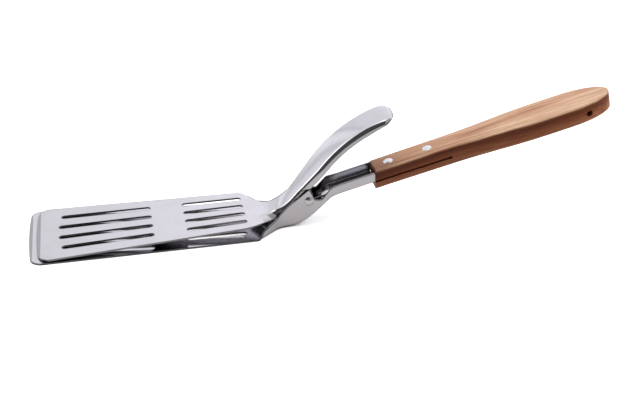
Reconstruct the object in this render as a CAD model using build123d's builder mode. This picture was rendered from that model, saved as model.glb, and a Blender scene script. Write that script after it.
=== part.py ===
import os
from math import asin, atan2, ceil, cos, degrees, hypot, pi, radians, sin, tan

from build123d import *

# A fish spatula of the gripping kind: a slotted lower blade on a wooden handle, and a slotted
# upper blade that a thumb lever lifts about a hinge pin. A spring round the pin closes it.
#
# Millimetres and degrees. +X runs from the blades to the handle, +Y across, +Z up.
# The origin is on the underside of the lower blade, midway between its two groups of slots.
# A reach is a distance along X from the origin. Tips reach the other way, along -X.

# Both stampings
sheet = 1.0
bend_radius = 0.5
tip_bow = 1.3
tip_corner_radius = 6.5
tip_grind_length = 2.0
tip_grind_height = 0.45
overrun = 40.0

# Hinge pin, from which the neck, the ears and the handle are placed
pin_reach = 82.0
pin_height = 17.0
pin_radius = 2.0
pin_head_radius = 3.0
pin_head_height = 1.1

# Lower blade, seen from above
lower_tip_reach = 79.5
lower_tip_width = 58.6
lower_shoulder_before_pin = 31.8
lower_shoulder_width = 43.6
lower_waist_before_pin = 16.5
lower_waist_radius = 14.0
ear_width = 17.8
ear_end_behind_pin = 6.0
shank_start_behind_pin = 19.0
shank_width = 14.6
shank_radius = 16.0

# Lower blade, seen from the side
ramp_foot_before_pin = 5.4
ramp_foot_radius = 24.5
ramp_angle = 42.5
ramp_length = 26.1
ramp_top_radius = 9.5
tang_pitch = 16.6
tang_length = 44.0
tang_width = 10.5
tang_corner_radius = 3.0

# Walls of the lower blade, seen from the side, from the shoulder to the handle
wall_start_behind_shoulder = 1.3
wall_front_run = 1.8
wall_front_height = 4.2
ear_foot_before_pin = 20.5
ear_foot_height = 7.0
ear_foot_radius = 5.0
ear_peak_before_pin = 0.3
ear_peak_above_pin = 7.8
ear_peak_radius = 0.8
notch_front_behind_pin = 3.5
notch_front_above_pin = 0.2
notch_front_radius = 2.6
notch_rear_behind_pin = 7.4
notch_rear_below_pin = 0.2
notch_rear_radius = 2.0
shank_wall_behind_pin = 13.1
shank_wall_height = 6.4
shank_wall_radius = 3.0
wall_to_handle = 0.2

# Upper blade, seen from above
tip_setback = 4.6
tip_side_step = 0.8
upper_shoulder_before_pin = 36.0
upper_shoulder_width = 41.8
upper_shoulder_radius = 12.0
upper_waist_before_pin = 20.5
upper_waist_radius = 12.0
lug_to_ear = 0.25
lever_widen_before_pin = 8.5
lever_widen_length = 13.0
lever_widen_radius = 16.0
lever_width = 21.6
lever_corner_radius = 8.4

# Upper blade, seen from the side
tip_gap = 0.15
neck_before_pin = 16.2
neck_below_pin = 7.15
neck_radius = 22.5
lever_rise = 53.0
lever_straight = 28.2
lever_curve_radius = 81.5
lever_end_slope = 17.0
lever_end_straight = 0.5

# Flange of the upper blade, seen from the side
flange_start_before_pin = 37.5
flange_low_before_pin = 26.5
flange_low_below_neck = 3.8
flange_neck_before_pin = 20.5
flange_neck_below_neck = 4.2
flange_lug_before_pin = 15.5
flange_lug_below_neck = 3.3
lever_flange_depth = 4.6
lever_flange_setback = 1.5
lever_flange_taper = 4.5
lug_top_before_pin = 1.6

# Hinge lugs
hinge_play = 0.08
press_play = 0.01
lug_wall = 1.5
ear_to_flange = 0.65

# Torsion spring
wire_radius = 0.6
coil_to_pin = 0.35
coil_pitch = 1.7
coil_full_turns = 4
floor_leg_length = 19.0
lever_leg_length = 18.0
leg_to_sheet = 0.1
gap_point_count = 400

# Slots: a group near the tip and one near the neck, the same in both blades
slot_count = 4
slot_width = 3.4
slot_bridge = 18.8
slot_to_tip = 18.4
slot_to_shoulder = 5.8
inner_slot_extra = 1.5
slot_spacing_tip = 11.2
slot_spacing_neck = 8.8

# Handle, measured along the tang from the handle's front
handle_behind_pin = 40.5
handle_length = 151.8
handle_above_tang = 6.8
handle_below_tang = 5.2
handle_front_rake = 11.0
handle_front_width = 14.6
handle_waist_at = 48.0
handle_waist_width = 16.2
handle_swell_width = 23.2
handle_swell_length = 15.8
handle_rounding = 28.0
handle_top_edge = 0.9
handle_bottom_edge = 1.8
kerf_play = 0.2
kerf_beyond_tang = 3.0
kerf_end_radius = 1.0
hanging_hole_from_end = 17.2
hanging_hole_radius = 2.0

# Handle rivets
front_rivet_at = 11.0
rear_rivet_to_tang_end = 8.4
rivet_radius = 2.0
rivet_head_radius = 3.0
rivet_head_height = 0.8


# Point at a distance from another, in a direction of the side view
def step(point, angle, distance):
    return (
        point[0] + distance * cos(radians(angle)),
        point[1] + distance * sin(radians(angle)),
    )


# Distance from a corner to where an arc that rounds it begins
def corner_run(radius, turn):
    return radius * tan(radians(abs(turn) / 2))


# Side view of the lower blade: floor, ramp and tang, along the middle of the sheet
ramp_foot = (pin_reach - ramp_foot_before_pin, sheet / 2)
ramp_top = step(ramp_foot, ramp_angle, ramp_length)
handle_reach = pin_reach + handle_behind_pin
tang_run = (handle_reach - ramp_top[0]) / cos(radians(tang_pitch))
tang_front = step(ramp_top, tang_pitch, tang_run)


# Point of the side view, given along and above the tang from the handle's front
def at_tang(along, above):
    return step(step(tang_front, tang_pitch, along), tang_pitch + 90, above)


tang_side = Plane(
    origin=(tang_front[0], 0, tang_front[1]),
    x_dir=(cos(radians(tang_pitch)), 0, sin(radians(tang_pitch))),
    z_dir=Plane.XZ.z_dir,
)
tang_top = Plane(origin=tang_side.origin, x_dir=tang_side.x_dir, z_dir=tang_side.y_dir)
rake_slope = tan(radians(handle_front_rake))
shank_end = at_tang(-wall_to_handle, 0)
rear_rivet_at = tang_length - rear_rivet_to_tang_end

with BuildLine() as lower_path:
    FilletPolyline(
        (-lower_tip_reach, sheet / 2),
        ramp_foot,
        ramp_top,
        at_tang(tang_length, 0),
        radius=[ramp_foot_radius, ramp_top_radius],
    )

# Side view of the upper blade: web, neck and lever, along the middle of the sheet. The path
# runs a sheet's thickness past the lever's end, where the outline cuts it.
upper_tip_reach = lower_tip_reach - tip_setback
upper_tip_width = lower_tip_width - 2 * tip_side_step
upper_tip = (-upper_tip_reach, sheet + tip_gap + sheet / 2)
neck = (pin_reach - neck_before_pin, pin_height - neck_below_pin)
upper_tilt = degrees(atan2(neck[1] - upper_tip[1], neck[0] - upper_tip[0]))
lever_turn = lever_rise - lever_end_slope
lever_run = corner_run(neck_radius, lever_rise - upper_tilt) + lever_straight
lever_bend = step(neck, lever_rise, lever_run + corner_run(lever_curve_radius, lever_turn))
lever_end_run = corner_run(lever_curve_radius, lever_turn) + lever_end_straight
lever_end = step(lever_bend, lever_end_slope, lever_end_run)

with BuildLine() as upper_path:
    FilletPolyline(
        upper_tip,
        neck,
        lever_bend,
        step(lever_end, lever_end_slope, sheet),
        radius=[neck_radius, lever_curve_radius],
    )

# Sizes about the pin
pin_centre = (pin_reach, pin_height)
lug_width = ear_width - 2 * (sheet + lug_to_ear)
lug_radius = pin_radius + lug_wall
ear_peak = (pin_reach - ear_peak_before_pin, pin_height + ear_peak_above_pin)
flange_to_pin = ear_peak_above_pin + ear_to_flange


# Outline seen from above: a bowed tip, and sides that follow the given points
def blade_outline(tip_reach, sides, radii):
    corner = sides[0]
    end = sides[-1]
    with BuildSketch() as outline:
        with BuildLine():
            FilletPolyline(*sides, (end[0], 0), radius=radii)
            mirror(about=Plane.XZ)
            ThreePointArc(corner, (-tip_reach, 0), (corner[0], -corner[1]))
        make_face()
        fillet(outline.vertices().group_by(Axis.X)[0], tip_corner_radius)
    return outline.sketch


# Area of the side view on one side of a path that runs from left to right: 1 above, -1 below
def area_beside(path, side):
    left = path @ 0
    right = path @ 1
    with BuildSketch() as area:
        with BuildLine():
            add(path)
            Polyline(right, (right.X, side * overrun), (left.X, side * overrun), left)
        make_face()
    return area.sketch


# Band of one sheet's thickness along a path
def area_along(path):
    with BuildSketch() as band:
        trace(path, line_width=sheet)
    return band.sketch


# Solid with one outline seen from above and another seen from the side
def crossed(outline, area):
    with BuildPart() as block:
        with BuildSketch():
            add(outline)
        extrude(amount=lower_tip_width + overrun, both=True)
        with BuildSketch(Plane.XZ):
            add(area)
        extrude(amount=lower_tip_width, both=True, mode=Mode.INTERSECT)
    return block.part


# Bent sheet: a strip whose rim behind a start reach is turned up or down into walls, 1 or -1.
# It is a block with a rounded rim, hollowed by a smaller one and trimmed to its area in the
# side view. The rims are found beside a point of the web where its width is known.
def bent_sheet(path, outline, start, wall_side, area, web_point, web_angle, web_width):
    cut = Plane.YZ.offset(start)
    along = area_along(path)
    beside = area_beside(path, wall_side)
    blocks = []
    for inset, block_area, radius in (
        (0, along + beside, bend_radius + sheet),
        (sheet, beside - along, bend_radius),
    ):
        rim = step(web_point, web_angle + 90, wall_side * (inset - sheet / 2))
        with BuildPart() as block:
            add(crossed(offset(outline, amount=-inset) if inset else outline, block_area))
            split(bisect_by=cut, keep=Keep.TOP)
            spots = [Vector(rim[0], y * (web_width / 2 - inset), rim[1]) for y in (-1, 1)]
            fillet([block.edges().sort_by_distance(spot)[0] for spot in spots], radius)
        blocks.append(block.part)
    with BuildPart() as stamping:
        add(blocks[0])
        add(blocks[1], mode=Mode.SUBTRACT)
        with BuildSketch(Plane.XZ):
            add(area)
        extrude(amount=lower_tip_width, both=True, mode=Mode.INTERSECT)
        add(split(crossed(outline, along), bisect_by=cut, keep=Keep.BOTTOM, mode=Mode.PRIVATE))
    return stamping.part


# Ends of the two groups of slots
lower_shoulder_reach = pin_reach - lower_shoulder_before_pin
slots_start = slot_to_tip - lower_tip_reach
slots_end = lower_shoulder_reach - slot_to_shoulder


# Distance between neighbouring slots, which close up towards the neck
def slot_spacing(reach):
    share = (reach - slots_start) / (slots_end - slots_start)
    return slot_spacing_tip + share * (slot_spacing_neck - slot_spacing_tip)


# Slots that start and end at the given reaches, where the inner ones start a little sooner
def slot_group(start, end, inner_extra):
    middle = (slot_count - 1) / 2
    for row in range(slot_count):
        inner = 0 < row < slot_count - 1
        first = start - (inner_extra if inner else 0) + slot_width / 2
        last = end - slot_width / 2
        head = Vector(first, (row - middle) * slot_spacing(first))
        heel = Vector(last, (row - middle) * slot_spacing(last))
        with Locations((head + heel) / 2):
            SlotCenterToCenter(
                (heel - head).length,
                slot_width,
                rotation=degrees(atan2(heel.Y - head.Y, heel.X - head.X)),
            )


# Both groups of slots, seen from above
def blade_slots():
    with BuildSketch() as slots:
        slot_group(slots_start, -slot_bridge / 2, inner_slot_extra)
        slot_group(slot_bridge / 2, slots_end, 0)
    return slots.sketch


# Side view of what is ground off the top of a tip, from the middle of its sheet
def tip_slope(tip_middle, angle):
    top = step(tip_middle, angle + 90, sheet / 2)
    ahead = step(top, angle + 180, tip_grind_length)
    with BuildSketch() as slope:
        with BuildLine():
            Polyline(
                step(ahead, angle - 90, 2 * tip_grind_height),
                step(top, angle, tip_grind_length),
                step(ahead, angle + 90, sheet),
                close=True,
            )
        make_face()
    return slope.sketch


# Rivet seen in half section: a shank and a domed head at each end
def rivet_section(shank_radius, head_radius, head_height, low, high):
    with BuildSketch() as section:
        with BuildLine():
            TangentArc((0, high + head_height), (head_radius, high), tangent=Axis.X.direction)
            Polyline(
                (head_radius, high),
                (shank_radius, high),
                (shank_radius, low),
                (head_radius, low),
            )
            TangentArc((0, low - head_height), (head_radius, low), tangent=Axis.X.direction)
            Line((0, low - head_height), (0, high + head_height))
        make_face()
    return section.sketch


# Lower blade: outline and walls
lower_outline = blade_outline(
    lower_tip_reach,
    [
        (-lower_tip_reach + tip_bow, lower_tip_width / 2),
        (lower_shoulder_reach, lower_shoulder_width / 2),
        (pin_reach - lower_waist_before_pin, ear_width / 2),
        (pin_reach + ear_end_behind_pin, ear_width / 2),
        (pin_reach + shank_start_behind_pin, shank_width / 2),
        (handle_reach + overrun, shank_width / 2),
    ],
    [0, lower_waist_radius, shank_radius, shank_radius, 0],
)

# Height of the wall's top above the middle of the tang, and where it stops at the handle
wall_above_tang = shank_wall_height - sheet / 2
wall_end_along = wall_above_tang * rake_slope - wall_to_handle
shank_wall_reach = pin_reach + shank_wall_behind_pin
shank_wall_level = at_tang(0, wall_above_tang)
shank_wall_start = (
    shank_wall_reach,
    shank_wall_level[1] - (shank_wall_level[0] - shank_wall_reach) * tan(radians(tang_pitch)),
)

wall_start_reach = lower_shoulder_reach + wall_start_behind_shoulder

with BuildLine() as wall_top:
    FilletPolyline(
        (wall_start_reach, sheet),
        (wall_start_reach + wall_front_run, wall_front_height),
        (pin_reach - ear_foot_before_pin, ear_foot_height),
        ear_peak,
        (pin_reach + notch_front_behind_pin, pin_height + notch_front_above_pin),
        (pin_reach + notch_rear_behind_pin, pin_height - notch_rear_below_pin),
        shank_wall_start,
        at_tang(wall_end_along, wall_above_tang),
        radius=[
            0,
            ear_foot_radius,
            ear_peak_radius,
            notch_front_radius,
            notch_rear_radius,
            shank_wall_radius,
        ],
    )

with BuildSketch() as lower_area:
    with BuildLine():
        add(wall_top.line)
        Polyline(
            wall_top.line @ 1,
            shank_end,
            at_tang(-wall_to_handle, -overrun),
            (wall_start_reach, -overrun),
            wall_top.line @ 0,
        )
    make_face()
    add(area_beside(lower_path.line, -1) - area_along(lower_path.line), mode=Mode.SUBTRACT)

shank_middle = step(ramp_top, tang_pitch, tang_run / 2)

with BuildPart() as lower_blade:
    add(
        bent_sheet(
            lower_path.line,
            lower_outline,
            wall_start_reach,
            1,
            lower_area.sketch,
            shank_middle,
            tang_pitch,
            shank_width,
        )
    )
    # Tang inside the handle
    with BuildSketch(tang_top.offset(-sheet / 2)) as tang:
        with Locations(((tang_length - wall_to_handle) / 2, 0)):
            Rectangle(tang_length + wall_to_handle, tang_width)
        fillet(tang.vertices().group_by(Axis.X)[-1], tang_corner_radius)
        with Locations((front_rivet_at, 0), (rear_rivet_at, 0)):
            Circle(rivet_radius + press_play, mode=Mode.SUBTRACT)
    extrude(amount=sheet)
    # Tip
    with BuildSketch(Plane.XZ):
        add(tip_slope((-lower_tip_reach, sheet / 2), 0))
    extrude(amount=lower_tip_width, both=True, mode=Mode.SUBTRACT)
    # Slots through the blade
    with BuildSketch():
        add(blade_slots())
    extrude(amount=sheet, mode=Mode.SUBTRACT)
    # Hole for the hinge pin through both ears
    with BuildSketch(Plane.XZ):
        with Locations(pin_centre):
            Circle(pin_radius + press_play)
    extrude(amount=ear_width, both=True, mode=Mode.SUBTRACT)

# Upper blade: outline, flange and lugs
lever_widen_start = pin_reach - lever_widen_before_pin
upper_outline = blade_outline(
    upper_tip_reach,
    [
        (-upper_tip_reach + tip_bow, upper_tip_width / 2),
        (pin_reach - upper_shoulder_before_pin, upper_shoulder_width / 2),
        (pin_reach - upper_waist_before_pin, lug_width / 2),
        (lever_widen_start, lug_width / 2),
        (lever_widen_start + lever_widen_length, lever_width / 2),
        (lever_end[0], lever_width / 2),
    ],
    [
        upper_shoulder_radius,
        upper_waist_radius,
        lever_widen_radius,
        lever_widen_radius,
        lever_corner_radius,
    ],
)

# Depth of the lever's flange below the middle of its web
flange_below_web = lever_flange_depth - sheet / 2
flange_start_reach = pin_reach - flange_start_before_pin
lug_corner = (pin_reach - flange_lug_before_pin, neck[1] - flange_lug_below_neck)


# Point of the lever's straight web above a reach
def on_lever(reach):
    return step(neck, lever_rise, (reach - neck[0]) / cos(radians(lever_rise)))


widen_point = on_lever(lever_widen_start)
lug_top = on_lever(pin_reach - lug_top_before_pin)

with BuildSketch() as upper_area:
    # Band under the lever, cut back round the ears and tapered off at the lever's end
    trace(upper_path.line, line_width=2 * flange_below_web)
    with BuildLine():
        Polyline(
            (-upper_tip_reach - overrun, -overrun),
            (neck[0], -overrun),
            (neck[0], neck[1] + overrun),
            (-upper_tip_reach - overrun, neck[1] + overrun),
            close=True,
        )
    make_face(mode=Mode.SUBTRACT)
    with BuildLine():
        taper_top = step(lever_end, lever_end_slope + 180, lever_flange_setback)
        taper_back = step(taper_top, lever_end_slope + 180, lever_flange_taper)
        Polyline(
            taper_top,
            step(taper_back, lever_end_slope - 90, flange_below_web),
            step(lever_end, lever_end_slope - 90, overrun),
            step(lever_end, lever_end_slope, overrun),
            step(taper_top, lever_end_slope + 90, overrun),
            close=True,
        )
    make_face(mode=Mode.SUBTRACT)
    with Locations(pin_centre):
        Circle(flange_to_pin, mode=Mode.SUBTRACT)
    # Shoulder flange, from nothing at the blade to the lugs
    with BuildLine():
        Polyline(
            step(neck, upper_tilt, (flange_start_reach - neck[0]) / cos(radians(upper_tilt))),
            (pin_reach - flange_low_before_pin, neck[1] - flange_low_below_neck),
            (pin_reach - flange_neck_before_pin, neck[1] - flange_neck_below_neck),
            lug_corner,
            widen_point,
            (lever_widen_start, widen_point[1] + overrun),
            (flange_start_reach, widen_point[1] + overrun),
            close=True,
        )
    make_face()
    add(area_beside(upper_path.line, -1), mode=Mode.INTERSECT)
    add(area_along(upper_path.line))

# Middle of the lever's curve and the slope there
lever_middle_slope = (lever_rise + lever_end_slope) / 2
lever_middle = step(
    lever_bend,
    lever_middle_slope - 90,
    lever_curve_radius / cos(radians(lever_turn / 2)) - lever_curve_radius,
)

with BuildPart() as upper_blade:
    add(
        bent_sheet(
            upper_path.line,
            upper_outline,
            flange_start_reach,
            -1,
            upper_area.sketch,
            lever_middle,
            lever_middle_slope,
            lever_width,
        )
    )
    # Lugs round the hinge pin
    for side in (-1, 1):
        with BuildSketch(Plane.XZ.offset(side * lug_width / 2)):
            with BuildLine():
                Polyline(lug_corner, neck, lug_top)
            with Locations(pin_centre):
                Circle(lug_radius)
            make_hull()
        extrude(amount=-side * sheet)
    # Tip
    with BuildSketch(Plane.XZ):
        add(tip_slope(upper_tip, upper_tilt))
    extrude(amount=lower_tip_width, both=True, mode=Mode.SUBTRACT)
    # Slots through the blade
    with BuildSketch():
        add(blade_slots())
    extrude(amount=overrun, mode=Mode.SUBTRACT)
    # Running hole for the hinge pin through both lugs
    with BuildSketch(Plane.XZ):
        with Locations(pin_centre):
            Circle(pin_radius + hinge_play)
    extrude(amount=ear_width, both=True, mode=Mode.SUBTRACT)

# Hinge pin: riveted over both ears
with BuildPart() as pivot_pin:
    with BuildSketch(Plane(origin=(pin_reach, 0, pin_height), z_dir=Plane.XY.z_dir)):
        add(
            rivet_section(
                pin_radius,
                pin_head_radius,
                pin_head_height,
                -ear_width / 2,
                ear_width / 2,
            )
        )
    revolve(axis=Axis((pin_reach, 0, pin_height), Axis.Y.direction))

# Torsion spring: the legs' directions follow from what they touch
coil_radius = pin_radius + coil_to_pin + wire_radius

# The floor leg runs under the pin and over the floor's upper bend
ramp_top_turn = ramp_angle - tang_pitch
bend_centre = step(
    ramp_top,
    (ramp_angle + tang_pitch) / 2 - 90,
    ramp_top_radius / cos(radians(ramp_top_turn / 2)),
)
bend_dx = bend_centre[0] - pin_reach
bend_dz = bend_centre[1] - pin_height
bend_reach = coil_radius + ramp_top_radius + sheet / 2 + wire_radius + leg_to_sheet
floor_leg_slope = degrees(atan2(bend_dz, bend_dx) + asin(bend_reach / hypot(bend_dx, bend_dz)))

# The lever leg ends against the underside of the lever
pin_to_lever = neck_before_pin * sin(radians(lever_rise)) - neck_below_pin * cos(radians(lever_rise))
leg_rise = pin_to_lever - sheet / 2 - leg_to_sheet
leg_width = coil_radius + wire_radius
leg_tilt = asin(leg_rise / hypot(leg_width, lever_leg_length)) - atan2(leg_width, lever_leg_length)
lever_leg_slope = lever_rise + degrees(leg_tilt)

# The wire turns from the floor leg to the lever leg
coil_start = floor_leg_slope - 90
coil_turned = coil_full_turns * 360 + (coil_start - lever_leg_slope - 90) % 360
coil_length = coil_pitch * coil_turned / 360


# Point on the wire's middle after a turn in degrees, and the wire's direction there
def coil_point(turned):
    angle = radians(coil_start - turned)
    return Vector(
        pin_reach + coil_radius * cos(angle),
        coil_pitch * turned / 360 - coil_length / 2,
        pin_height + coil_radius * sin(angle),
    )


def coil_direction(turned):
    angle = radians(coil_start - turned)
    rise = coil_pitch / (2 * pi)
    return Vector(coil_radius * sin(angle), rise, -coil_radius * cos(angle)).normalized()


# Two arcs that join two points of the coil and share a tangent where they meet
def coil_biarc(start_turned, end_turned):
    start = coil_point(start_turned)
    end = coil_point(end_turned)
    start_dir = coil_direction(start_turned)
    end_dir = coil_direction(end_turned)
    chord = end - start
    both = start_dir + end_dir
    spread = 2 * (1 - start_dir.dot(end_dir))
    along = chord.dot(both)
    reach = ((along * along + spread * chord.dot(chord)) ** 0.5 - along) / spread
    joint = (start + end + (start_dir - end_dir) * reach) / 2
    TangentArc(start, joint, tangent=start_dir)
    TangentArc(joint, end, tangent=joint - start - start_dir * reach)


coil_quarters = round(coil_turned / 90)
coil_step = coil_turned / coil_quarters

with BuildLine() as spring_path:
    Line(coil_point(0) - coil_direction(0) * floor_leg_length, coil_point(0))
    for quarter in range(coil_quarters):
        coil_biarc(quarter * coil_step, (quarter + 1) * coil_step)
    Line(
        coil_point(coil_turned),
        coil_point(coil_turned) + coil_direction(coil_turned) * lever_leg_length,
    )

with BuildPart() as torsion_spring:
    with BuildSketch(Plane(origin=spring_path.line @ 0, z_dir=spring_path.line % 0)):
        Circle(wire_radius)
    sweep(path=spring_path.line)

# Least gap of the wire to itself, between points that lie more than half a turn apart on it
spring_wire = spring_path.wire()
gap_points = [spring_wire @ (i / gap_point_count) for i in range(gap_point_count + 1)]
points_in_half_turn = ceil(pi * coil_radius / spring_wire.length * gap_point_count)
spring_gap = min(
    (far - near).length - 2 * wire_radius
    for i, near in enumerate(gap_points)
    for far in gap_points[i + points_in_half_turn :]
)
print(f"least gap of the spring to itself: {spring_gap:.3f} mm")

# Handle seen from above: its plan starts ahead of the raked front, which the side view cuts
plan_front = (-handle_below_tang, handle_front_width / 2)
waist = (handle_waist_at, handle_waist_width / 2)
rounding_start = handle_length - handle_rounding
swell = (rounding_start - handle_swell_length, handle_swell_width / 2)
kerf_length = tang_length + kerf_beyond_tang

# Handle: one piece of wood with a saw slot for the tang
with BuildPart() as handle:
    with BuildSketch(tang_side):
        with BuildLine():
            Polyline(
                (handle_above_tang * rake_slope, handle_above_tang),
                (handle_length, handle_above_tang),
                (handle_length, -handle_below_tang),
                (-handle_below_tang * rake_slope, -handle_below_tang),
                close=True,
            )
        make_face()
    extrude(amount=handle_swell_width, both=True)
    with BuildSketch(tang_top):
        with BuildLine():
            Line((plan_front[0], 0), plan_front)
            Line(plan_front, waist)
            Spline(waist, swell, tangents=[Vector(*waist) - Vector(*plan_front), (1, 0)])
            Line(swell, (rounding_start, handle_swell_width / 2))
            EllipticalCenterArc(
                (rounding_start, 0),
                handle_rounding,
                handle_swell_width / 2,
                start_angle=0,
                arc_size=90,
            )
            mirror(about=Plane.XZ)
        make_face()
    extrude(amount=overrun, both=True, mode=Mode.INTERSECT)
    top_face = handle.faces().sort_by(Axis(tang_top.origin, tang_top.z_dir))[-1]
    bottom_face = handle.faces().sort_by(Axis(tang_top.origin, tang_top.z_dir))[0]
    fillet(top_face.edges(), handle_top_edge)
    fillet(bottom_face.edges().filter_by(Axis.Y, reverse=True), handle_bottom_edge)
    # Saw slot and the drilled hole that ends it
    with BuildSketch(tang_side):
        with Locations(((kerf_length - handle_length) / 2, 0)):
            Rectangle(kerf_length + handle_length, sheet + 2 * kerf_play)
        with Locations((kerf_length, 0)):
            Circle(kerf_end_radius)
        with Locations((handle_length - hanging_hole_from_end, 0)):
            Circle(hanging_hole_radius)
    extrude(amount=handle_swell_width, both=True, mode=Mode.SUBTRACT)
    with BuildSketch(tang_top):
        with Locations((front_rivet_at, 0), (rear_rivet_at, 0)):
            Circle(rivet_radius + press_play)
    extrude(amount=overrun, both=True, mode=Mode.SUBTRACT)


# Handle rivet: through the wood and the tang, with a head on the top and the bottom
def handle_rivet(along):
    foot = at_tang(along, 0)
    seat = Plane(origin=(foot[0], 0, foot[1]), x_dir=tang_side.x_dir, z_dir=tang_side.z_dir)
    with BuildPart() as rivet:
        with BuildSketch(seat):
            add(
                rivet_section(
                    rivet_radius,
                    rivet_head_radius,
                    rivet_head_height,
                    -handle_below_tang,
                    handle_above_tang,
                )
            )
        revolve(axis=Axis(seat.origin, seat.y_dir))
    return rivet.part


pieces = {
    "lower_blade": lower_blade.part,
    "upper_blade": upper_blade.part,
    "pivot_pin": pivot_pin.part,
    "torsion_spring": torsion_spring.part,
    "handle": handle.part,
    "front_rivet": handle_rivet(front_rivet_at),
    "rear_rivet": handle_rivet(rear_rivet_at),
}

os.makedirs("parts", exist_ok=True)
for name, piece in pieces.items():
    piece.label = name
    export_step(piece, f"parts/{name}.step")
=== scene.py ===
import math

import bmesh
import bpy
from mathutils import Matrix, Quaternion, Vector


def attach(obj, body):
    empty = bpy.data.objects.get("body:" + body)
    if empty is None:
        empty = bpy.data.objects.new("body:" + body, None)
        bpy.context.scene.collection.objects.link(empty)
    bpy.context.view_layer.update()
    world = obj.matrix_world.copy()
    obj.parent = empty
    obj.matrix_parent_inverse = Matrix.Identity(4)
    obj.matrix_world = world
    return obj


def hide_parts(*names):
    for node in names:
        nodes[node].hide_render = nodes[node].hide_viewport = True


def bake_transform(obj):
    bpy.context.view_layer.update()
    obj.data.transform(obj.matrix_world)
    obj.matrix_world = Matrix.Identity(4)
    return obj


# Fish spatula: two slotted steel blades, a thumb lever, a spring round the hinge pin and a
# wooden handle. Metres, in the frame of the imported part.

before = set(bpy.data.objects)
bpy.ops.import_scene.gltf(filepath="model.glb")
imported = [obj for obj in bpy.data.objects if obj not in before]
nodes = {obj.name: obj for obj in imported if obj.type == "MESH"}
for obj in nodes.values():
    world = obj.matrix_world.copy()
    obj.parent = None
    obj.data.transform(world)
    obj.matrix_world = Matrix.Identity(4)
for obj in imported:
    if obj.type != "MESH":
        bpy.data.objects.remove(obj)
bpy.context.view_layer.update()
scene = bpy.context.scene
mm = 0.001
print("frame loaded:", ", ".join(sorted(nodes)))


# Node helpers

def addNode(tree, kind, inputs=None, **settings):
    node = tree.nodes.new(kind)
    for name, value in settings.items():
        setattr(node, name, value)
    for name, value in (inputs or {}).items():
        node.inputs[name].default_value = value
    return node


def link(tree, source, target):
    tree.links.new(source, target)


def mathNode(tree, operation, first, second):
    node = tree.nodes.new("ShaderNodeMath")
    node.operation = operation
    for index, value in enumerate((first, second)):
        if isinstance(value, (int, float)):
            node.inputs[index].default_value = value
        else:
            link(tree, value, node.inputs[index])
    return node.outputs[0]


def mapRange(tree, value, fromLow, fromHigh, toLow=0.0, toHigh=1.0, smooth=False):
    node = tree.nodes.new("ShaderNodeMapRange")
    node.interpolation_type = "SMOOTHSTEP" if smooth else "LINEAR"
    link(tree, value, node.inputs["Value"])
    for name, number in (
        ("From Min", fromLow),
        ("From Max", fromHigh),
        ("To Min", toLow),
        ("To Max", toHigh),
    ):
        node.inputs[name].default_value = number
    return node.outputs["Result"]


def mixColour(tree, factor, first, second, mode="MIX"):
    node = tree.nodes.new("ShaderNodeMix")
    node.data_type = "RGBA"
    node.blend_type = mode
    for socket, value in ((node.inputs[0], factor), (node.inputs[6], first), (node.inputs[7], second)):
        if isinstance(value, (int, float)):
            socket.default_value = value
        elif isinstance(value, (tuple, list)):
            socket.default_value = (*value[:3], 1)
        else:
            link(tree, value, socket)
    return node.outputs[2]


def colourRamp(tree, value, stops):
    node = tree.nodes.new("ShaderNodeValToRGB")
    while len(node.color_ramp.elements) < len(stops):
        node.color_ramp.elements.new(0.5)
    for element, (position, colour) in zip(node.color_ramp.elements, stops):
        element.position = position
        element.color = (*colour, 1)
    link(tree, value, node.inputs["Fac"])
    return node.outputs["Color"]


def newGroup(name, inputs, outputs):
    group = bpy.data.node_groups.new(name, "ShaderNodeTree")
    for label, kind, value in inputs:
        socket = group.interface.new_socket(name=label, in_out="INPUT", socket_type=kind)
        if value is not None:
            socket.default_value = value
    for label, kind in outputs:
        group.interface.new_socket(name=label, in_out="OUTPUT", socket_type=kind)
    return group, group.nodes.new("NodeGroupInput"), group.nodes.new("NodeGroupOutput")


def useGroup(tree, group, **values):
    node = tree.nodes.new("ShaderNodeGroup")
    node.node_tree = group
    for name, value in values.items():
        node.inputs[name].default_value = value
    return node


def newMaterial(name):
    material = bpy.data.materials.new(name)
    material.use_nodes = True
    return material, material.node_tree, material.node_tree.nodes["Principled BSDF"]


# Effects used by several materials. A range is the two values between which a mask goes from
# nothing to full.

softEdgeLook = {"radius": 0.2 * mm, "samples": 6, "range": (0.999, 0.8)}
cutEdgeLook = {"depth": 0.9 * mm, "samples": 8, "range": (0.85, 0.55)}
closeShadeLook = {"reach": 3.0 * mm, "samples": 8, "range": (0.95, 0.45)}
polishLook = {"length": 60.0, "fineness": 2500.0, "detail": 4.0, "roughness": 0.6}
smudgeLook = {"scale": 60.0, "detail": 3.0, "roughness": 0.55, "distortion": 0.6, "range": (0.4, 0.68)}


def makeSoftEdge(look):
    # Rounded look at sharp edges, and a mask of where they are
    tree, entry, leave = newGroup(
        "softEdge",
        [("Radius", "NodeSocketFloat", look["radius"])],
        [("Normal", "NodeSocketVector"), ("Edge", "NodeSocketFloat")],
    )
    bevel = addNode(tree, "ShaderNodeBevel", samples=look["samples"])
    link(tree, entry.outputs["Radius"], bevel.inputs["Radius"])
    geometry = addNode(tree, "ShaderNodeNewGeometry")
    dot = addNode(tree, "ShaderNodeVectorMath", operation="DOT_PRODUCT")
    link(tree, bevel.outputs["Normal"], dot.inputs[0])
    link(tree, geometry.outputs["Normal"], dot.inputs[1])
    edge = mapRange(tree, dot.outputs["Value"], *look["range"])
    link(tree, bevel.outputs["Normal"], leave.inputs["Normal"])
    link(tree, edge, leave.inputs["Edge"])
    return tree


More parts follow.
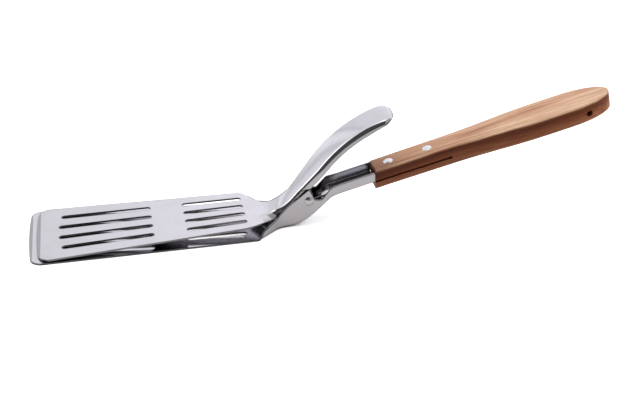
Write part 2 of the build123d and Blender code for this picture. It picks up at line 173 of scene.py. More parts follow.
def makeCutEdge(look):
    # Mask of the narrow faces left by the shears, where the sheet's inside is shallow
    tree, entry, leave = newGroup(
        "cutEdge",
        [("Depth", "NodeSocketFloat", look["depth"])],
        [("Mask", "NodeSocketFloat")],
    )
    inside = addNode(
        tree, "ShaderNodeAmbientOcclusion", samples=look["samples"], inside=True, only_local=True
    )
    link(tree, entry.outputs["Depth"], inside.inputs["Distance"])
    link(tree, mapRange(tree, inside.outputs["AO"], *look["range"], smooth=True), leave.inputs["Mask"])
    return tree


def makeCloseShade(look):
    # Mask of places close under or beside another surface
    tree, entry, leave = newGroup(
        "closeShade",
        [("Reach", "NodeSocketFloat", look["reach"])],
        [("Mask", "NodeSocketFloat")],
    )
    near = addNode(tree, "ShaderNodeAmbientOcclusion", samples=look["samples"])
    link(tree, entry.outputs["Reach"], near.inputs["Distance"])
    link(tree, mapRange(tree, near.outputs["AO"], *look["range"], smooth=True), leave.inputs["Mask"])
    return tree


def makePolishLines(look):
    # Fine lines left by the buffing wheel, drawn out along the object's length
    tree, entry, leave = newGroup(
        "polishLines",
        [
            ("Vector", "NodeSocketVector", None),
            ("Length", "NodeSocketFloat", look["length"]),
            ("Fineness", "NodeSocketFloat", look["fineness"]),
        ],
        [("Lines", "NodeSocketFloat")],
    )
    stretch = addNode(tree, "ShaderNodeCombineXYZ")
    link(tree, entry.outputs["Length"], stretch.inputs["X"])
    link(tree, entry.outputs["Fineness"], stretch.inputs["Y"])
    link(tree, entry.outputs["Fineness"], stretch.inputs["Z"])
    scaled = addNode(tree, "ShaderNodeVectorMath", operation="MULTIPLY")
    link(tree, entry.outputs["Vector"], scaled.inputs[0])
    link(tree, stretch.outputs["Vector"], scaled.inputs[1])
    noise = addNode(
        tree,
        "ShaderNodeTexNoise",
        inputs={"Scale": 1.0, "Detail": look["detail"], "Roughness": look["roughness"]},
    )
    link(tree, scaled.outputs["Vector"], noise.inputs["Vector"])
    link(tree, noise.outputs["Fac"], leave.inputs["Lines"])
    return tree


def makeSmudges(look):
    # Broad soft marks from handling
    tree, entry, leave = newGroup(
        "smudges",
        [("Vector", "NodeSocketVector", None), ("Scale", "NodeSocketFloat", look["scale"])],
        [("Mask", "NodeSocketFloat")],
    )
    noise = addNode(
        tree,
        "ShaderNodeTexNoise",
        inputs={
            "Detail": look["detail"],
            "Roughness": look["roughness"],
            "Distortion": look["distortion"],
        },
    )
    link(tree, entry.outputs["Vector"], noise.inputs["Vector"])
    link(tree, entry.outputs["Scale"], noise.inputs["Scale"])
    link(tree, mapRange(tree, noise.outputs["Fac"], *look["range"], smooth=True), leave.inputs["Mask"])
    return tree


softEdge = makeSoftEdge(softEdgeLook)
cutEdge = makeCutEdge(cutEdgeLook)
closeShade = makeCloseShade(closeShadeLook)
polishLines = makePolishLines(polishLook)
smudges = makeSmudges(smudgeLook)


# Steel. The three kinds share a painted highlight colour for sharp edges and a painted shade colour for
# places close under or beside another surface.

anySteel = {
    "edgeHighlightColour": (0.85, 0.85, 0.86),
    "shadeColour": (0.02, 0.018, 0.018),
    "lineRange": (0.35, 0.7),
    "lineStrength": 0.25,
}
bladeSteel = {
    **anySteel,
    "colour": (0.62, 0.615, 0.64),
    "warmColour": (0.60, 0.585, 0.60),
    "roughness": (0.07, 0.16),
    "lineLength": 40.0,
    "lineFineness": 1800.0,
    "lineHeight": 0.004 * mm,
    "smudgeScale": 45.0,
    "edgeRadius": 0.25 * mm,
    "shadeReach": 3.0 * mm,
    "shade": 0.75,
    "cutDepth": 0.9 * mm,
    "cutShadeColour": (0.10, 0.10, 0.105),
    "cutRoughness": 0.34,
    "groundBefore": -70 * mm,
    "groundLean": (0.10, 0.16),
    "groundShade": 0.60,
    "groundRoughness": 0.3,
}
rivetSteel = {
    **anySteel,
    "colour": (0.74, 0.74, 0.75),
    "warmColour": (0.70, 0.69, 0.69),
    "roughness": (0.18, 0.30),
    "lineLength": 900.0,
    "lineFineness": 2500.0,
    "lineHeight": 0.004 * mm,
    "smudgeScale": 400.0,
    "edgeRadius": 0.15 * mm,
    "shadeReach": 1.0 * mm,
    "shade": 0.6,
}
springSteel = {
    **anySteel,
    "colour": (0.42, 0.41, 0.41),
    "warmColour": (0.34, 0.32, 0.31),
    "roughness": (0.18, 0.34),
    "lineLength": 700.0,
    "lineFineness": 3000.0,
    "lineHeight": 0.01 * mm,
    "smudgeScale": 300.0,
    "edgeRadius": 0.1 * mm,
    "shadeReach": 1.5 * mm,
    "shade": 0.6,
}


def steelMaterial(name, look):
    material, tree, shader = newMaterial(name)
    where = addNode(tree, "ShaderNodeTexCoord")
    lines = useGroup(tree, polishLines, Length=look["lineLength"], Fineness=look["lineFineness"])
    marks = useGroup(tree, smudges, Scale=look["smudgeScale"])
    edges = useGroup(tree, softEdge, Radius=look["edgeRadius"])
    link(tree, where.outputs["Object"], lines.inputs["Vector"])
    link(tree, where.outputs["Object"], marks.inputs["Vector"])
    tone = mixColour(tree, marks.outputs["Mask"], look["colour"], look["warmColour"])
    # Painted highlight: sharp edges get a lighter colour
    tone = mixColour(tree, edges.outputs["Edge"], tone, look["edgeHighlightColour"])
    # Half of the roughness range comes from the lines and half from the marks
    smooth, rough = look["roughness"]
    fromLines = mapRange(tree, lines.outputs["Lines"], *look["lineRange"], smooth, (smooth + rough) / 2)
    fromMarks = mathNode(tree, "MULTIPLY", marks.outputs["Mask"], (rough - smooth) / 2)
    roughness = mathNode(tree, "ADD", fromLines, fromMarks)
    if "cutShadeColour" in look:
        # Painted shade: the thin cut faces get a near-black colour; their higher roughness is the sheared
        # steel's own
        cut = useGroup(tree, cutEdge, Depth=look["cutDepth"]).outputs["Mask"]
        tone = mixColour(tree, cut, tone, look["cutShadeColour"])
        # Satin slopes ground into the tips, which lean towards -X: their satin roughness is real, and
        # their darker colour is painted shade
        spot = addNode(tree, "ShaderNodeSeparateXYZ")
        link(tree, where.outputs["Object"], spot.inputs[0])
        facing = addNode(tree, "ShaderNodeNewGeometry")
        lean = addNode(tree, "ShaderNodeSeparateXYZ")
        link(tree, facing.outputs["True Normal"], lean.inputs[0])
        sloped = mapRange(tree, mathNode(tree, "MULTIPLY", lean.outputs["X"], -1.0), *look["groundLean"])
        atTip = mathNode(tree, "LESS_THAN", spot.outputs["X"], look["groundBefore"])
        ground = mathNode(tree, "MULTIPLY", sloped, atTip)
        tone = mixColour(tree, ground, tone, tuple(part * look["groundShade"] for part in look["colour"]))
        satin = mathNode(tree, "MULTIPLY", ground, look["groundRoughness"])
        cutRough = mathNode(tree, "MULTIPLY", cut, look["cutRoughness"])
        roughness = mathNode(tree, "MAXIMUM", roughness, mathNode(tree, "MAXIMUM", cutRough, satin))
    near = useGroup(tree, closeShade, Reach=look["shadeReach"]).outputs["Mask"]
    shade = mathNode(tree, "MULTIPLY", near, look["shade"])
    tone = mixColour(tree, shade, tone, look["shadeColour"])
    link(tree, tone, shader.inputs["Base Color"])
    link(tree, roughness, shader.inputs["Roughness"])
    bump = addNode(
        tree,
        "ShaderNodeBump",
        inputs={"Strength": look["lineStrength"], "Distance": look["lineHeight"]},
    )
    link(tree, lines.outputs["Lines"], bump.inputs["Height"])
    link(tree, edges.outputs["Normal"], bump.inputs["Normal"])
    link(tree, bump.outputs["Normal"], shader.inputs["Normal"])
    shader.inputs["Metallic"].default_value = 1.0
    return material


bladeFinish = steelMaterial("polished_blade_steel", bladeSteel)
rivetFinish = steelMaterial("rivet_steel_finish", rivetSteel)
springFinish = steelMaterial("drawn_spring_wire", springSteel)
print("steel materials made")


# Wood, with its grain along the handle. Each noise has its stretch in X, Y and Z, then its detail,
# roughness and distortion. The height shade goes from the handle's underside to its top, as painted light
# and shade.

handleWood = {
    "gripFront": (122.5 * mm, 0, 26.06 * mm),
    "pitch": math.radians(16.6),
    "broad": ((9.0, 110.0, 90.0), 3.0, 0.55, 0.4),
    "fine": ((26.0, 700.0, 600.0), 4.0, 0.6, 0.0),
    "pores": ((120.0, 2600.0, 2600.0), 2.0, 0.5, 0.0),
    "broadShare": 0.5,
    "grainRange": (0.33, 0.68),
    "grain": [
        (0.0, (0.22, 0.085, 0.036)),
        (0.32, (0.42, 0.215, 0.115)),
        (0.7, (0.575, 0.372, 0.248)),
        (1.0, (0.70, 0.47, 0.30)),
    ],
    "poreColour": (0.15, 0.06, 0.028),
    "poreRange": (0.62, 0.72),
    "poreTint": 0.55,
    "poreDepth": 0.8,
    "waveRange": (0.3, 0.7),
    "waveHeight": (-0.5 * mm, 0.5 * mm),
    "heightShade": [
        (0.0, (0.95, 0.75, 0.62)),
        (0.22, (0.74, 0.50, 0.38)),
        (0.50, (0.50, 0.25, 0.14)),
        (0.70, (0.29, 0.112, 0.045)),
        (0.88, (0.25, 0.096, 0.037)),
        (0.93, (0.60, 0.44, 0.33)),
        (0.965, (1.0, 1.0, 1.0)),
    ],
    "frontTone": (0.80, 0.72, 0.66),
    "frontEnd": 95 * mm,
    "lowest": -6 * mm,
    "highest": 7.2 * mm,
    "smudgeScale": 70.0,
    "roughness": (0.52, 0.40),
    "edgeRadius": 0.35 * mm,
    "reliefStrength": 0.4,
    "reliefDepth": 0.06 * mm,
    "specular": 0.25,
}


def woodMaterial(look):
    material, tree, shader = newMaterial("oiled_handle_wood")
    where = addNode(tree, "ShaderNodeTexCoord")
    turn = addNode(tree, "ShaderNodeMapping", vector_type="TEXTURE")
    turn.inputs["Location"].default_value = look["gripFront"]
    turn.inputs["Rotation"].default_value = (0, -look["pitch"], 0)
    link(tree, where.outputs["Object"], turn.inputs["Vector"])
    along = turn.outputs["Vector"]

    def grainNoise(stretch, detail, roughness, distortion):
        scaled = addNode(tree, "ShaderNodeVectorMath", operation="MULTIPLY")
        link(tree, along, scaled.inputs[0])
        scaled.inputs[1].default_value = stretch
        noise = addNode(
            tree,
            "ShaderNodeTexNoise",
            inputs={"Scale": 1.0, "Detail": detail, "Roughness": roughness, "Distortion": distortion},
        )
        link(tree, scaled.outputs["Vector"], noise.inputs["Vector"])
        return noise.outputs["Fac"]

    broad = grainNoise(*look["broad"])
    fine = grainNoise(*look["fine"])
    pores = grainNoise(*look["pores"])
    broadPart = mathNode(tree, "MULTIPLY", broad, look["broadShare"])
    finePart = mathNode(tree, "MULTIPLY", fine, 1 - look["broadShare"])
    grain = mathNode(tree, "ADD", broadPart, finePart)
    tone = colourRamp(tree, mapRange(tree, grain, *look["grainRange"]), look["grain"])
    # Painted light and shade by height: a painted light top over a painted dark band under it, lighter
    # again towards the underside, waved by the grain
    split = addNode(tree, "ShaderNodeSeparateXYZ")
    link(tree, along, split.inputs[0])
    wave = mapRange(tree, broad, *look["waveRange"], *look["waveHeight"])
    waved = mathNode(tree, "ADD", split.outputs["Z"], wave)
    level = mapRange(tree, waved, look["lowest"], look["highest"])
    tone = mixColour(tree, 1.0, tone, colourRamp(tree, level, look["heightShade"]), "MULTIPLY")
    # Darker towards the front
    back = mapRange(tree, split.outputs["X"], 0.0, look["frontEnd"], smooth=True)
    tone = mixColour(tree, 1.0, tone, mixColour(tree, back, look["frontTone"], (1, 1, 1)), "MULTIPLY")
    poreMask = mapRange(tree, pores, *look["poreRange"], smooth=True)
    poreTint = mathNode(tree, "MULTIPLY", poreMask, look["poreTint"])
    tone = mixColour(tree, poreTint, tone, look["poreColour"])
    link(tree, tone, shader.inputs["Base Color"])
    marks = useGroup(tree, smudges, Scale=look["smudgeScale"])
    link(tree, where.outputs["Object"], marks.inputs["Vector"])
    roughness = mapRange(tree, marks.outputs["Mask"], 0.0, 1.0, *look["roughness"])
    link(tree, roughness, shader.inputs["Roughness"])
    edges = useGroup(tree, softEdge, Radius=look["edgeRadius"])
    relief = mathNode(tree, "SUBTRACT", fine, mathNode(tree, "MULTIPLY", poreMask, look["poreDepth"]))
    bump = addNode(
        tree,
        "ShaderNodeBump",
        inputs={"Strength": look["reliefStrength"], "Distance": look["reliefDepth"]},
    )
    link(tree, relief, bump.inputs["Height"])
    link(tree, edges.outputs["Normal"], bump.inputs["Normal"])
    link(tree, bump.outputs["Normal"], shader.inputs["Normal"])
    shader.inputs["Specular IOR Level"].default_value = look["specular"]
    return material


woodFinish = woodMaterial(handleWood)
print("wood material made")


# CAD nodes keep their shape

def dress(node, material):
    mesh = nodes[node].data
    mesh.materials.clear()
    mesh.materials.append(material)


for name in ("lower_blade", "upper_blade"):
    dress(name, bladeFinish)
for name in ("pivot_pin", "front_rivet", "rear_rivet"):
    dress(name, rivetFinish)
dress("torsion_spring", springFinish)
dress("handle", woodFinish)
print("CAD nodes dressed")


# Upper blade, drawn as one bent sheet in millimetres and degrees: its middle seen from the side as
# runs with the turn made in each, half its outline seen from above with corner radii, and rows
# with a place along the blade and the rim's fold angle and depth there
upperSheet = {
    "start": (-74.9, 1.65),
    "tilt": 3.3355,
    "runs": [(130.528, 0.0), (19.503, 49.6645), (28.2, 0.0), (51.208, -36.0), (2.0, 0.0)],
    "thickness": 1.0,
    "foldRadius": 2.8,
    "outline": [
        ((-74.89, 2.5), 0.0),
        ((-74.575, 14.25), 250.0),
        ((-73.6, 28.5), 6.5),
        ((46.0, 20.9), 12.0),
        ((61.5, 7.65), 12.0),
        ((73.5, 7.65), 16.0),
        ((86.5, 10.8), 16.0),
        ((130.77, 10.8), 8.4),
        ((130.77, 1.0), 0.0),
    ],
    "rim": [
        (44.5, 0.0, 0.0),
        (45.1, 3.5, 0.02),
        (45.75, 7.0, 0.09),
        (47.0, 14.0, 0.30),
        (50.0, 22.0, 1.05),
        (53.0, 28.0, 1.95),
        (56.0, 34.0, 2.9),
        (58.5, 46.0, 3.7),
        (61.0, 62.0, 4.7),
        (63.0, 74.0, 5.5),
        (65.0, 84.0, 6.1),
        (66.5, 89.0, 6.4),
        (68.0, 90.0, 6.5),
        (73.4, 90.0, 6.5),
        (74.4, 90.0, 1.5),
        (75.1, 90.0, 1.2),
        (76.7, 90.0, 1.65),
        (78.2, 90.0, 2.95),
        (79.2, 90.0, 4.6),
        (114.0, 90.0, 4.6),
        (124.0, 90.0, 3.7),
        (128.5, 90.0, 2.4),
        (130.77, 90.0, 1.3),
    ],
    "leastFold": 0.001,
    "foldSteps": 8,
    "wallSteps": 2,
    "webStep": 16.0,
    "rimStep": 2.0,
    "weld": 0.002,
    "leastEdge": 0.001,
    "grindLength": 2.0,
    "grindDepth": 0.45,
    "slotWidth": 3.4,
    "slotGroups": [(-61.1, -9.4, 1.5), (9.4, 44.4, 0.0)],
    "slotSpacing": [(-61.1, 11.2), (44.4, 8.8)],
    "slotRows": (-1.5, -0.5, 0.5, 1.5),
    "slotEndStep": 15,
    "slotCutLevels": (-2.0, 18.0),
    "pin": (82.0, 17.0),
    "pinHole": 2.08,
    "pinHoleStep": 10,
    "pinCutLevels": (-20.0, 20.0),
    "lugCorner": (66.5, 6.55),
    "lugTop": [(67.0, 9.8), (75.0, 20.3), (77.2, 23.6), (79.9, 28.3)],
    "lugRadius": 3.5,
    "lugArc": (-67, 25, 7),
    "lugSides": (6.66, 7.64),
}


def alongTable(table, place):
    # Values of a table at a place, straight between its rows
    if place <= table[0][0]:
        return table[0][1:]
    for low, high in zip(table, table[1:]):
        if place <= high[0]:
            share = (place - low[0]) / (high[0] - low[0])
            return tuple(a + share * (b - a) for a, b in zip(low[1:], high[1:]))
    return table[-1][1:]


def roundedLine(corners, arcStep=6.0):
    # Points of a line whose corners are rounded, up to the end of the last rounding
    points = [Vector(corners[0][0])]
    for (before, _), (corner, radius), (after, _) in zip(corners, corners[1:], corners[2:]):
        corner = Vector(corner)
        inward = (Vector(before) - corner).normalized()
        onward = (Vector(after) - corner).normalized()
        turn = math.pi - inward.angle(onward)
        run = radius * math.tan(turn / 2)
        centre = corner + (inward + onward).normalized() * radius / math.cos(turn / 2)
        first = corner + inward * run - centre
        last = corner + onward * run - centre
        steps = max(2, math.ceil(math.degrees(turn) / arcStep))
        for index in range(steps + 1):
            share = index / steps
            low = math.sin((1 - share) * turn) / math.sin(turn)
            high = math.sin(share * turn) / math.sin(turn)
            points.append(centre + first * low + last * high)
    return points


def splitLine(points, marks, spacing):
    # The same line with a point at every mark and no step longer than the spacing there
    result = [points[0]]
    for first, last in zip(points, points[1:]):
        pieces = math.ceil((last - first).length / spacing(first.x))
        shares = {index / pieces for index in range(1, pieces + 1)}
        run = last.x - first.x
        if run > 0:
            shares |= {(mark - first.x) / run for mark in marks if first.x < mark < last.x}
        result += [first.lerp(last, share) for share in sorted(shares)]
    return result


def sheetPlace(look, run):
    # Place and slope of the sheet's middle after a run from the tip
    x, z = look["start"]
    slope = math.radians(look["tilt"])
    for length, turn in look["runs"]:
        part = min(run, length)
        turned = math.radians(turn) * part / length
        if turn:
            radius = length / math.radians(turn)
            x += radius * (math.sin(slope + turned) - math.sin(slope))
            z -= radius * (math.cos(slope + turned) - math.cos(slope))
        else:
            x += part * math.cos(slope)
            z += part * math.sin(slope)
        slope += turned
        run -= part
    return x, z, slope


def sheetRun(look, place, halvings=40):
    # Run from the tip to a place along X, found by halving
    low, high = 0.0, sum(length for length, turn in look["runs"])
    for _ in range(halvings):
        middle = (low + high) / 2
        if sheetPlace(look, middle)[0] < place:
            low = middle
        else:
            high = middle
    return low


def foldProfile(look, angle, depth):
    # Cross-section of the rim as (inset, depth) pairs: the outer face and the inner face, each
    # from the flat web to the free edge
    steps = look["foldSteps"]
    walls = look["wallSteps"]
    if angle < look["leastFold"]:
        flat = steps + walls + 1
        return [(0.0, 0.0)] * flat, [(0.0, look["thickness"])] * flat
    fold = math.radians(angle)
    outer = look["foldRadius"]
    inner = outer - look["thickness"]
    innerDepth = depth + math.cos(fold) * look["thickness"]
    faces = []
    for radius, low in ((outer, depth), (inner, innerDepth)):
        bent = math.acos(min(1.0, max(math.cos(fold), (outer - low) / radius)))
        wall = max(0.0, low - outer + radius * math.cos(fold)) / math.sin(fold)
        faces.append((radius, bent, wall))
    inset = outer * math.sin(fold) + faces[0][2] * math.cos(fold)
    result = []
    for radius, bent, wall in faces:
        row = []
        for index in range(steps + 1):
            turned = bent * index / steps
            row.append((inset - radius * math.sin(turned), outer - radius * math.cos(turned)))
        side, level = row[-1]
        for index in range(1, walls + 1):
            share = index / walls
            row.append((side - share * wall * math.cos(bent), level + share * wall * math.sin(bent)))
        result.append(row)
    return result


halfTurn = 180


def arcPoints(centre, radius, angles):
    return [centre + Vector((math.cos(angle), math.sin(angle))) * radius for angle in angles]


def prism(builder, outline, levels, place):
    # Closed solid between an outline drawn at a low and at a high level
    rings = [[builder.verts.new(place(point, level)) for point in outline] for level in levels]
    builder.faces.new(rings[0][::-1])
    builder.faces.new(rings[1])
    for index in range(len(outline)):
        after = (index + 1) % len(outline)
        builder.faces.new((rings[0][index], rings[0][after], rings[1][after], rings[1][index]))


def meshObject(name, builder):
    bmesh.ops.recalc_face_normals(builder, faces=builder.faces)
    if builder.calc_volume(signed=True) < 0:
        bmesh.ops.reverse_faces(builder, faces=builder.faces)
    mesh = bpy.data.meshes.new(name)
    builder.to_mesh(mesh)
    builder.free()
    made = bpy.data.objects.new(name, mesh)
    scene.collection.objects.link(made)
    return made


def carve(target, tool, operation):
    modifier = target.modifiers.new("carve", "BOOLEAN")
    modifier.solver = "FAST"
    modifier.operation = operation
    modifier.object = tool
    graph = bpy.context.evaluated_depsgraph_get()
    mesh = bpy.data.meshes.new_from_object(target.evaluated_get(graph))
    target.modifiers.clear()
    target.data = mesh
    bpy.data.objects.remove(tool)


def bentSheet(look):
    # Half the rim, from the tip to the lever's end, as runs along the sheet and half widths
    marks = [row[0] for row in look["rim"]] + [look["start"][0] + look["grindLength"]]

    def longestStep(place):
        return look["webStep"] if place < look["rim"][0][0] else look["rimStep"]

    plan = splitLine(roundedLine(look["outline"]), marks, longestStep)
    rim = [Vector((sheetRun(look, point.x), point.y)) for point in plan]
    columns = []
    chords = [last - first for first, last in zip(rim, rim[1:])]
    for index, point in enumerate(rim):
        # Each chord next to the point counts by the other one's length
        before, after = chords[max(index - 1, 0)], chords[min(index, len(chords) - 1)]
        way = (before.normalized() * after.length + after.normalized() * before.length).normalized()
        outward = Vector((-way.y, way.x))
        angle, depth = alongTable(look["rim"], plan[index].x)
        outerFace, innerFace = foldProfile(look, angle, depth)
        ground = look["grindDepth"] * max(0.0, 1 - point.x / look["grindLength"])
        column = []
        for inset, level in outerFace + innerFace[::-1]:
            spot = point - outward * inset
            column.append((spot.x, spot.y, max(level, ground)))
        columns.append(column)

    def place(run, side, level):
        x, z, slope = sheetPlace(look, run)
        up = look["thickness"] / 2 - level
        return Vector((x - up * math.sin(slope), side, z + up * math.cos(slope)))

    def rimSide(sign):
        return [
            [builder.verts.new(place(run, sign * side, level)) for run, side, level in column]
            for column in columns
        ]

    builder = bmesh.new()
    near = rimSide(1)
    far = rimSide(-1)
    loop = near + far[::-1]
    rows = range(len(columns[0]) - 1)
    for first, last in zip(loop, loop[1:] + loop[:1]):
        for row in rows:
            builder.faces.new((first[row], last[row], last[row + 1], first[row + 1]))
    for web in (0, -1):
        for index in range(len(columns) - 1):
            corners = (near[index], near[index + 1], far[index + 1], far[index])
            builder.faces.new([corner[web] for corner in corners])
    bmesh.ops.remove_doubles(builder, verts=builder.verts, dist=look["weld"])
    bmesh.ops.dissolve_degenerate(builder, edges=builder.edges, dist=look["leastEdge"])
    return meshObject("upper_blade_sheet", builder)


def slotCutter(look):
    builder = bmesh.new()
    radius = look["slotWidth"] / 2
    for start, end, sooner in look["slotGroups"]:
        for row in look["slotRows"]:
            first = start + radius - (sooner if abs(row) < 1 else 0.0)
            last = end - radius
            head = Vector((first, row * alongTable(look["slotSpacing"], first)[0]))
            heel = Vector((last, row * alongTable(look["slotSpacing"], last)[0]))
            lean = math.atan2(heel.y - head.y, heel.x - head.x)
            outline = []
            for middle, facing in ((heel, -90), (head, 90)):
                turns = range(facing, facing + halfTurn + 1, look["slotEndStep"])
                outline += arcPoints(middle, radius, [lean + math.radians(turn) for turn in turns])
            prism(builder, outline, look["slotCutLevels"], lambda point, level: (*point, level))
    return meshObject("slot_cutter", builder)


def lugPlate(look, sign):
    # Plate round the hinge pin, under the lever
    turns = [math.radians(turn) for turn in range(*look["lugArc"])]
    outline = [Vector(look["lugCorner"])]
    outline += arcPoints(Vector(look["pin"]), look["lugRadius"], turns)
    outline += [Vector(point) for point in reversed(look["lugTop"])]
    builder = bmesh.new()
    prism(builder, outline, look["lugSides"], lambda point, side: (point.x, sign * side, point.y))
    return meshObject("lug_plate", builder)


def pinCutter(look):
    turns = [math.radians(turn) for turn in range(0, 2 * halfTurn, look["pinHoleStep"])]
    outline = arcPoints(Vector(look["pin"]), look["pinHole"], turns)
    builder = bmesh.new()
    prism(builder, outline, look["pinCutLevels"], lambda point, side: (point.x, side, point.y))
    return meshObject("pin_cutter", builder)


def smoothFaces(made, sharpest=28.0):
    made.data.polygons.foreach_set("use_smooth", [True] * len(made.data.polygons))
    made.data.set_sharp_from_angle(angle=math.radians(sharpest))


upperBlade = bentSheet(upperSheet)
for sign in (1, -1):
    carve(upperBlade, lugPlate(upperSheet, sign), "UNION")
carve(upperBlade, slotCutter(upperSheet), "DIFFERENCE")
carve(upperBlade, pinCutter(upperSheet), "DIFFERENCE")
upperBlade.data.transform(Matrix.Scale(mm, 4))
smoothFaces(upperBlade)
upperBlade.data.materials.clear()
upperBlade.data.materials.append(bladeFinish)
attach(upperBlade, "lever_body")
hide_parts("upper_blade")
print("upper blade drawn:", len(upperBlade.data.polygons), "faces")


def bendingSpring():
    spring = bpy.data.objects.new("torsion_spring_wire", nodes["torsion_spring"].data.copy())
    scene.collection.objects.link(spring)
    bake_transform(spring)
    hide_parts("torsion_spring")


bendingSpring()


# Stage, light and camera

stageLook = {
    "floorHalf": 8.0,
    "floorParts": 8,
    "floorDrop": 0.1 * mm,
    "floorColour": (0.80, 0.80, 0.805),
    "floorRoughness": 0.9,
    "floorSpecular": 0.1,
    "floorGlow": 0.50,
    "coverHeight": 8 * mm,
    "coverSamples": 12,
    "coverRange": (0.05, 0.40),
    "coverShadowColour": (0.05, 0.05, 0.05),
    "bounceColour": (0.56, 0.54, 0.535),
    "paperFront": (-420 * mm, -50 * mm),
    "paperFarShade": 0.06,
}


def makeFloor(look):
    mesh = bpy.data.meshes.new("floor")
    builder = bmesh.new()
    parts = look["floorParts"]
    bmesh.ops.create_grid(builder, x_segments=parts, y_segments=parts, size=look["floorHalf"])
    builder.to_mesh(mesh)
    builder.free()
    floor = bpy.data.objects.new("floor", mesh)
    floor.location.z = -look["floorDrop"]
    scene.collection.objects.link(floor)
    material, tree, shader = newMaterial("pale_floor")
    shader.inputs["Roughness"].default_value = look["floorRoughness"]
    shader.inputs["Specular IOR Level"].default_value = look["floorSpecular"]
    shader.inputs["Emission Color"].default_value = (1, 1, 1, 1)
    # Painted shadow: it glows less and goes dark where the object covers it
    cover = addNode(
        tree,
        "ShaderNodeAmbientOcclusion",
        samples=look["coverSamples"],
        inputs={"Distance": look["coverHeight"]},
    )
    clearance = mapRange(tree, cover.outputs["AO"], *look["coverRange"], smooth=True)
    glow = mathNode(tree, "MULTIPLY", clearance, look["floorGlow"])
    link(tree, glow, shader.inputs["Emission Strength"])
    tint = mixColour(tree, clearance, look["coverShadowColour"], look["floorColour"])
    link(tree, tint, shader.inputs["Base Color"])
    # The steel and the wood see a plain paper floor that doesn't glow and gets dark far in front
    where = addNode(tree, "ShaderNodeTexCoord")
    spot = addNode(tree, "ShaderNodeSeparateXYZ")
    link(tree, where.outputs["Object"], spot.inputs[0])
    lit = mapRange(tree, spot.outputs["Y"], *look["paperFront"], look["paperFarShade"], 1.0)
    paper = addNode(tree, "ShaderNodeBsdfDiffuse")
    link(tree, mixColour(tree, lit, (0, 0, 0), look["bounceColour"]), paper.inputs["Color"])
    rays = addNode(tree, "ShaderNodeLightPath")
    seen = addNode(tree, "ShaderNodeMixShader")
    link(tree, rays.outputs["Is Camera Ray"], seen.inputs[0])
    link(tree, paper.outputs[0], seen.inputs[1])
    link(tree, shader.outputs[0], seen.inputs[2])
    # Seen from below, the floor lets the underside of the object show
    geometry = addNode(tree, "ShaderNodeNewGeometry")
    clear = addNode(tree, "ShaderNodeBsdfTransparent")
    mix = addNode(tree, "ShaderNodeMixShader")
    link(tree, geometry.outputs["Backfacing"], mix.inputs[0])
    link(tree, seen.outputs[0], mix.inputs[1])
    link(tree, clear.outputs[0], mix.inputs[2])
    link(tree, mix.outputs[0], tree.nodes["Material Output"].inputs["Surface"])
    mesh.materials.append(material)


makeFloor(stageLook)

# Room that the object mirrors. Turns are directions seen from above, in degrees from +Y towards
# +X, and the back wall has its colours by turn. The screen's and the strip's tops are heights in
# degrees. The other ranges are parts of the direction's Y or Z.
worldLook = {
    "turns": (-90.0, 60.0),
    "back": [
        (-90, (2.30, 2.30, 2.35)),
        (-70, (1.90, 1.90, 1.95)),
        (-55, (1.06, 1.05, 1.11)),
        (-33, (1.04, 1.03, 1.10)),
        (-29.5, (0.72, 0.71, 0.77)),
        (-27, (1.16, 1.15, 1.21)),
        (-22.5, (1.18, 1.17, 1.23)),
        (-20.8, (0.70, 0.69, 0.75)),
        (-19, (0.98, 0.98, 1.03)),
        (-8, (0.99, 0.99, 1.03)),
        (8, (1.22, 1.20, 1.29)),
        (60, (1.25, 1.24, 1.30)),
    ],
    "zenith": (1.05, 1.05, 1.06),
    "zenithRange": (0.56, 0.85),
    "below": (0.35, 0.34, 0.34),
    "belowRange": (0.0, -0.1),
    "wall": (1.0, 1.0, 1.0),
    "front": (0.42, 0.415, 0.43),
    "frontRange": (-0.05, -0.30),
    "frontTop": (0.90, 0.70),
    "screenTurn": 212.0,
    "screenHalf": (50.0, 58.0),
    "screenTop": (60.0, 74.0),
    "screenDark": 0.97,
    "stripTop": (82.0, 87.0),
    "stripColour": (2.6, 2.6, 2.65),
}


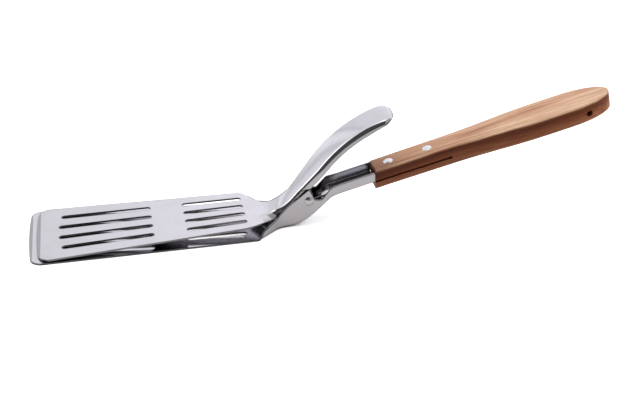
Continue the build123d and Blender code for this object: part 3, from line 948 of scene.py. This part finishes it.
def makeWorld(look):
    world = bpy.data.worlds.new("softStudio")
    scene.world = world
    world.use_nodes = True
    tree = world.node_tree
    background = tree.nodes["Background"]
    where = addNode(tree, "ShaderNodeTexCoord")
    split = addNode(tree, "ShaderNodeSeparateXYZ")
    link(tree, where.outputs["Generated"], split.inputs[0])
    height = split.outputs["Z"]
    turn = mathNode(tree, "ARCTAN2", split.outputs["X"], split.outputs["Y"])
    first, last = look["turns"]
    across = mapRange(tree, turn, math.radians(first), math.radians(last))
    stops = [((angle - first) / (last - first), tone) for angle, tone in look["back"]]
    wall = colourRamp(tree, across, stops)
    sky = mixColour(tree, mapRange(tree, height, *look["zenithRange"], smooth=True), wall, look["zenith"])
    sky = mixColour(tree, mapRange(tree, height, *look["belowRange"], smooth=True), sky, look["below"])
    # Greyer room in front
    front = mapRange(tree, split.outputs["Y"], *look["frontRange"], smooth=True)
    lowPart = mapRange(tree, height, *look["frontTop"], smooth=True)
    sky = mixColour(tree, mathNode(tree, "MULTIPLY", front, lowPart), sky, look["front"])
    # Dark screen in front of the object, with a bright strip over it
    level = addNode(tree, "ShaderNodeVectorMath", operation="MULTIPLY")
    link(tree, where.outputs["Generated"], level.inputs[0])
    level.inputs[1].default_value = (1, 1, 0)
    flat = addNode(tree, "ShaderNodeVectorMath", operation="NORMALIZE")
    link(tree, level.outputs["Vector"], flat.inputs[0])
    toScreen = addNode(tree, "ShaderNodeVectorMath", operation="DOT_PRODUCT")
    link(tree, flat.outputs["Vector"], toScreen.inputs[0])
    screenTurn = math.radians(look["screenTurn"])
    toScreen.inputs[1].default_value = (math.sin(screenTurn), math.cos(screenTurn), 0)
    narrow, wide = (math.cos(math.radians(angle)) for angle in look["screenHalf"])
    inSector = mapRange(tree, toScreen.outputs["Value"], wide, narrow, smooth=True)
    screenLow, screenHigh = (math.sin(math.radians(angle)) for angle in look["screenTop"])
    stripLow, stripHigh = (math.sin(math.radians(angle)) for angle in look["stripTop"])
    underStrip = mapRange(tree, height, stripHigh, stripLow, smooth=True)
    sky = mixColour(tree, mathNode(tree, "MULTIPLY", inSector, underStrip), sky, look["stripColour"])
    underScreen = mapRange(tree, height, screenHigh, screenLow, smooth=True)
    onScreen = mathNode(tree, "MULTIPLY", inSector, underScreen)
    dark = mathNode(tree, "MULTIPLY", onScreen, look["screenDark"])
    mirrored = mixColour(tree, dark, sky, (0, 0, 0))
    # The camera itself sees a plain white wall
    rays = addNode(tree, "ShaderNodeLightPath")
    shown = mixColour(tree, rays.outputs["Is Camera Ray"], mirrored, look["wall"])
    link(tree, shown, background.inputs["Color"])
    background.inputs["Strength"].default_value = 1.0


makeWorld(worldLook)

# Lamps light the object without being mirrored in it
lampLook = {
    "top": {"place": (0.05, -0.05, 1.3), "aim": (0.09, 0.0, 0.0), "size": (1.5, 0.7), "power": 9.0},
    "right": {"place": (1.0, -0.25, 0.12), "aim": (0.26, 0.0, 0.07), "size": (0.5, 0.4), "power": 3.6},
}


def softLamp(name, look):
    light = bpy.data.lights.new(name, "AREA")
    light.shape = "RECTANGLE"
    light.size, light.size_y = look["size"]
    light.energy = look["power"]
    lamp = bpy.data.objects.new(name, light)
    place = Vector(look["place"])
    lamp.location = place
    lamp.rotation_mode = "QUATERNION"
    lamp.rotation_quaternion = (Vector(look["aim"]) - place).to_track_quat("-Z", "Y")
    lamp.visible_glossy = False
    scene.collection.objects.link(lamp)


for lampName, lampSettings in lampLook.items():
    softLamp(lampName, lampSettings)

cameraLook = {
    "place": (-39.7 * mm, -535.7 * mm, 323.4 * mm),
    "target": (90.6 * mm, 0.0, 12.1 * mm),
    "roll": 2.74,
    "lens": 59.34,
    "sensor": 36.0,
    "near": 10 * mm,
}


def makeCamera(look):
    data = bpy.data.cameras.new("camera")
    data.lens = look["lens"]
    data.sensor_width = look["sensor"]
    data.clip_start = look["near"]
    camera = bpy.data.objects.new("camera", data)
    place = Vector(look["place"])
    sight = Vector(look["target"]) - place
    turn = sight.to_track_quat("-Z", "Y") @ Quaternion((0, 0, 1), math.radians(look["roll"]))
    camera.rotation_mode = "QUATERNION"
    camera.rotation_quaternion = turn
    camera.location = place
    scene.collection.objects.link(camera)
    scene.camera = camera


makeCamera(cameraLook)
scene.view_settings.view_transform = "Standard"
print("stage, light and camera set")
